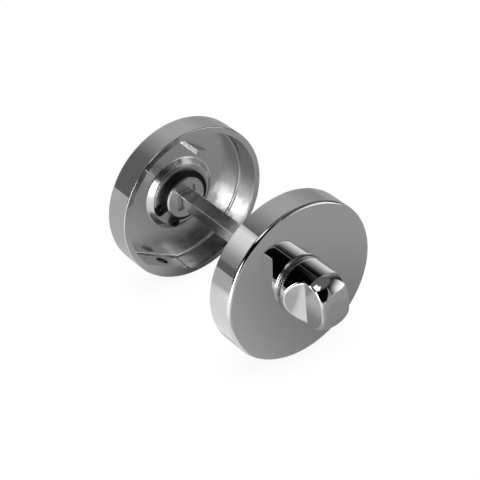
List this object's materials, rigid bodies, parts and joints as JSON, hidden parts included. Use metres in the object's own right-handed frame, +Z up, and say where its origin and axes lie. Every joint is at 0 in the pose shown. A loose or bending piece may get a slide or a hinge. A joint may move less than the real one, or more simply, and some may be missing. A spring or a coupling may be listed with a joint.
{
  "type": "bathroom thumb turn lock",
  "caption": "Bathroom thumb turn lock: chromed round roses on a square spindle, with a finger-grip turn on one side and a coin-slot emergency release on the other.",
  "frame": {"origin": "on the spindle's axis, midway between the two roses' rims, where the lock's follower sits in the middle of the door", "axes": "+Y along the spindle towards the coin release, -Y towards the thumb turn, +Z up with the finger grip leaning 6 degrees from upright"},
  "size_m": [0.052, 0.0854, 0.052],
  "materials": {
    "rose_chrome": "mirror chrome plate on die-cast zinc",
    "knob_chrome": "mirror chrome plate on die-cast zinc",
    "washer_steel": "zinc-plated steel",
    "screw_steel": "blackened steel",
    "ring_steel": "phosphated spring steel",
    "spindle_steel": "drawn and plated steel bar",
    "pin_steel": "plain steel"
  },
  "bodies": {
    "turn_side": {"turn_rose": "rose_chrome", "turn_washer": "washer_steel", "turn_grub_screw": "screw_steel"},
    "turn": {"thumb_turn": "knob_chrome", "turn_circlip": "ring_steel", "spindle": "spindle_steel", "spindle_pin": "pin_steel"},
    "release_side": {"release_rose": "rose_chrome", "release_washer": "washer_steel", "release_grub_screw": "screw_steel"},
    "release": {"release_button": "knob_chrome", "release_circlip": "ring_steel"}
  },
  "joints": [
    {"name": "thumb_turn", "type": "hinge", "parent": "turn_side", "child": "turn", "pos_m": [0, 0, 0], "axis": [0, 1, 0], "continuous": true},
    {"name": "release_slide", "type": "slide", "parent": "turn_side", "child": "release_side", "axis": [0, 1, 0], "range_m": [-0.0033, 0.0024]},
    {"name": "release_turn", "type": "hinge", "parent": "release_side", "child": "release", "pos_m": [0, 0, 0], "axis": [0, 1, 0], "continuous": true}
  ],
  "couplings": [
    {"joint": "release_turn", "follows": "thumb_turn", "ratio": 1}
  ]
}
